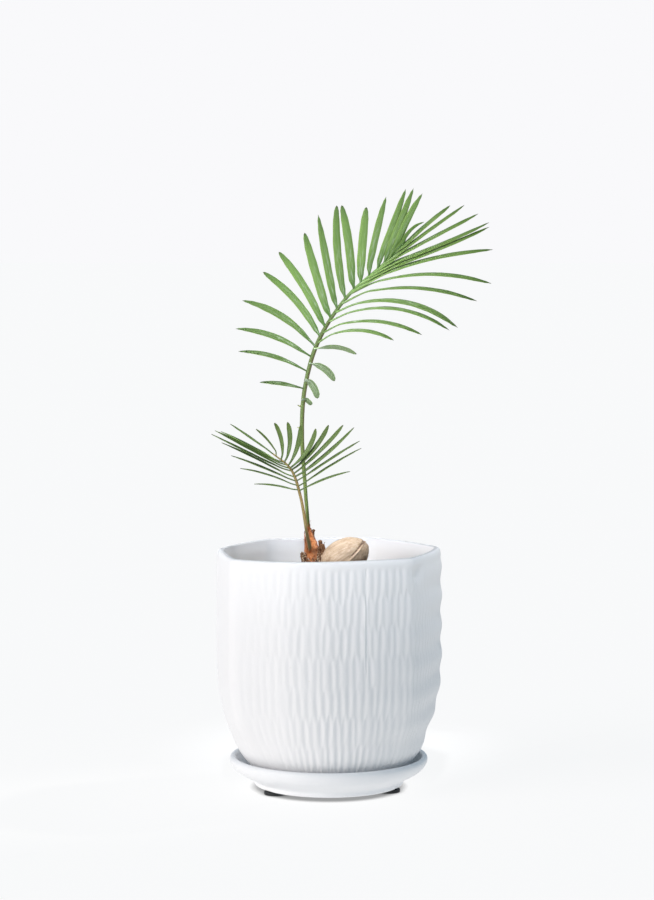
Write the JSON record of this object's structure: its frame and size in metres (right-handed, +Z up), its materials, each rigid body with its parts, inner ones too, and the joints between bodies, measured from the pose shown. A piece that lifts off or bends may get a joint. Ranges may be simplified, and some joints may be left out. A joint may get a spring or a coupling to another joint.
{
  "type": "potted sago palm",
  "caption": "Young sago palm with feathery fronds, still beside its seed, growing in a white faceted fluted ceramic pot on a round saucer with rubber pads.",
  "frame": {"origin": "middle of the whole plant's footprint, on the surface that the saucer's pads stand on", "axes": "+Z up along the pot's axis; -Y is the front, from which the fronds spread to the left and the right; +X to the right, the way the tall frond arches"},
  "size_m": [0.1895, 0.1495, 0.4117],
  "materials": {
    "pot_ceramic": "matte",
    "saucer_ceramic": "satin",
    "foot_rubber": "matte",
    "potting_soil": "matte",
    "seed_shell": "matte",
    "caudex_wool": "matte",
    "rachis": "satin",
    "leaflet": "satin"
  },
  "bodies": {
    "root": {"pot": "pot_ceramic", "saucer": "saucer_ceramic", "saucer_foot_right": "foot_rubber", "saucer_foot_left": "foot_rubber", "saucer_foot_back": "foot_rubber", "soil": "potting_soil", "seed": "seed_shell", "caudex": "caudex_wool", "tall_frond_rachis": "rachis", "small_frond_rachis": "rachis", "tall_frond_left_leaflet_01": "leaflet", "tall_frond_left_leaflet_02": "leaflet", "tall_frond_left_leaflet_03": "leaflet", "tall_frond_left_leaflet_04": "leaflet", "tall_frond_left_leaflet_05": "leaflet", "tall_frond_left_leaflet_06": "leaflet", "tall_frond_left_leaflet_07": "leaflet", "tall_frond_left_leaflet_08": "leaflet", "tall_frond_left_leaflet_09": "leaflet", "tall_frond_left_leaflet_10": "leaflet", "tall_frond_left_leaflet_11": "leaflet", "tall_frond_left_leaflet_12": "leaflet", "tall_frond_left_leaflet_13": "leaflet", "tall_frond_left_leaflet_14": "leaflet", "tall_frond_left_leaflet_15": "leaflet", "tall_frond_left_leaflet_16": "leaflet", "tall_frond_right_leaflet_01": "leaflet", "tall_frond_right_leaflet_02": "leaflet", "tall_frond_right_leaflet_03": "leaflet", "tall_frond_right_leaflet_04": "leaflet", "tall_frond_right_leaflet_05": "leaflet", "tall_frond_right_leaflet_06": "leaflet", "tall_frond_right_leaflet_07": "leaflet", "tall_frond_right_leaflet_08": "leaflet", "tall_frond_right_leaflet_09": "leaflet", "tall_frond_right_leaflet_10": "leaflet", "tall_frond_right_leaflet_11": "leaflet", "tall_frond_right_leaflet_12": "leaflet", "tall_frond_right_leaflet_13": "leaflet", "tall_frond_right_leaflet_14": "leaflet", "tall_frond_right_leaflet_15": "leaflet", "small_frond_left_leaflet_01": "leaflet", "small_frond_left_leaflet_02": "leaflet", "small_frond_left_leaflet_03": "leaflet", "small_frond_left_leaflet_04": "leaflet", "small_frond_left_leaflet_05": "leaflet", "small_frond_left_leaflet_06": "leaflet", "small_frond_left_leaflet_07": "leaflet", "small_frond_left_leaflet_08": "leaflet", "small_frond_right_leaflet_01": "leaflet", "small_frond_right_leaflet_02": "leaflet", "small_frond_right_leaflet_03": "leaflet", "small_frond_right_leaflet_04": "leaflet", "small_frond_right_leaflet_05": "leaflet", "small_frond_right_leaflet_06": "leaflet", "small_frond_right_leaflet_07": "leaflet", "small_frond_right_leaflet_08": "leaflet", "small_frond_right_leaflet_09": "leaflet", "small_frond_right_leaflet_10": "leaflet", "small_frond_right_leaflet_11": "leaflet"}
  },
  "joints": []
}
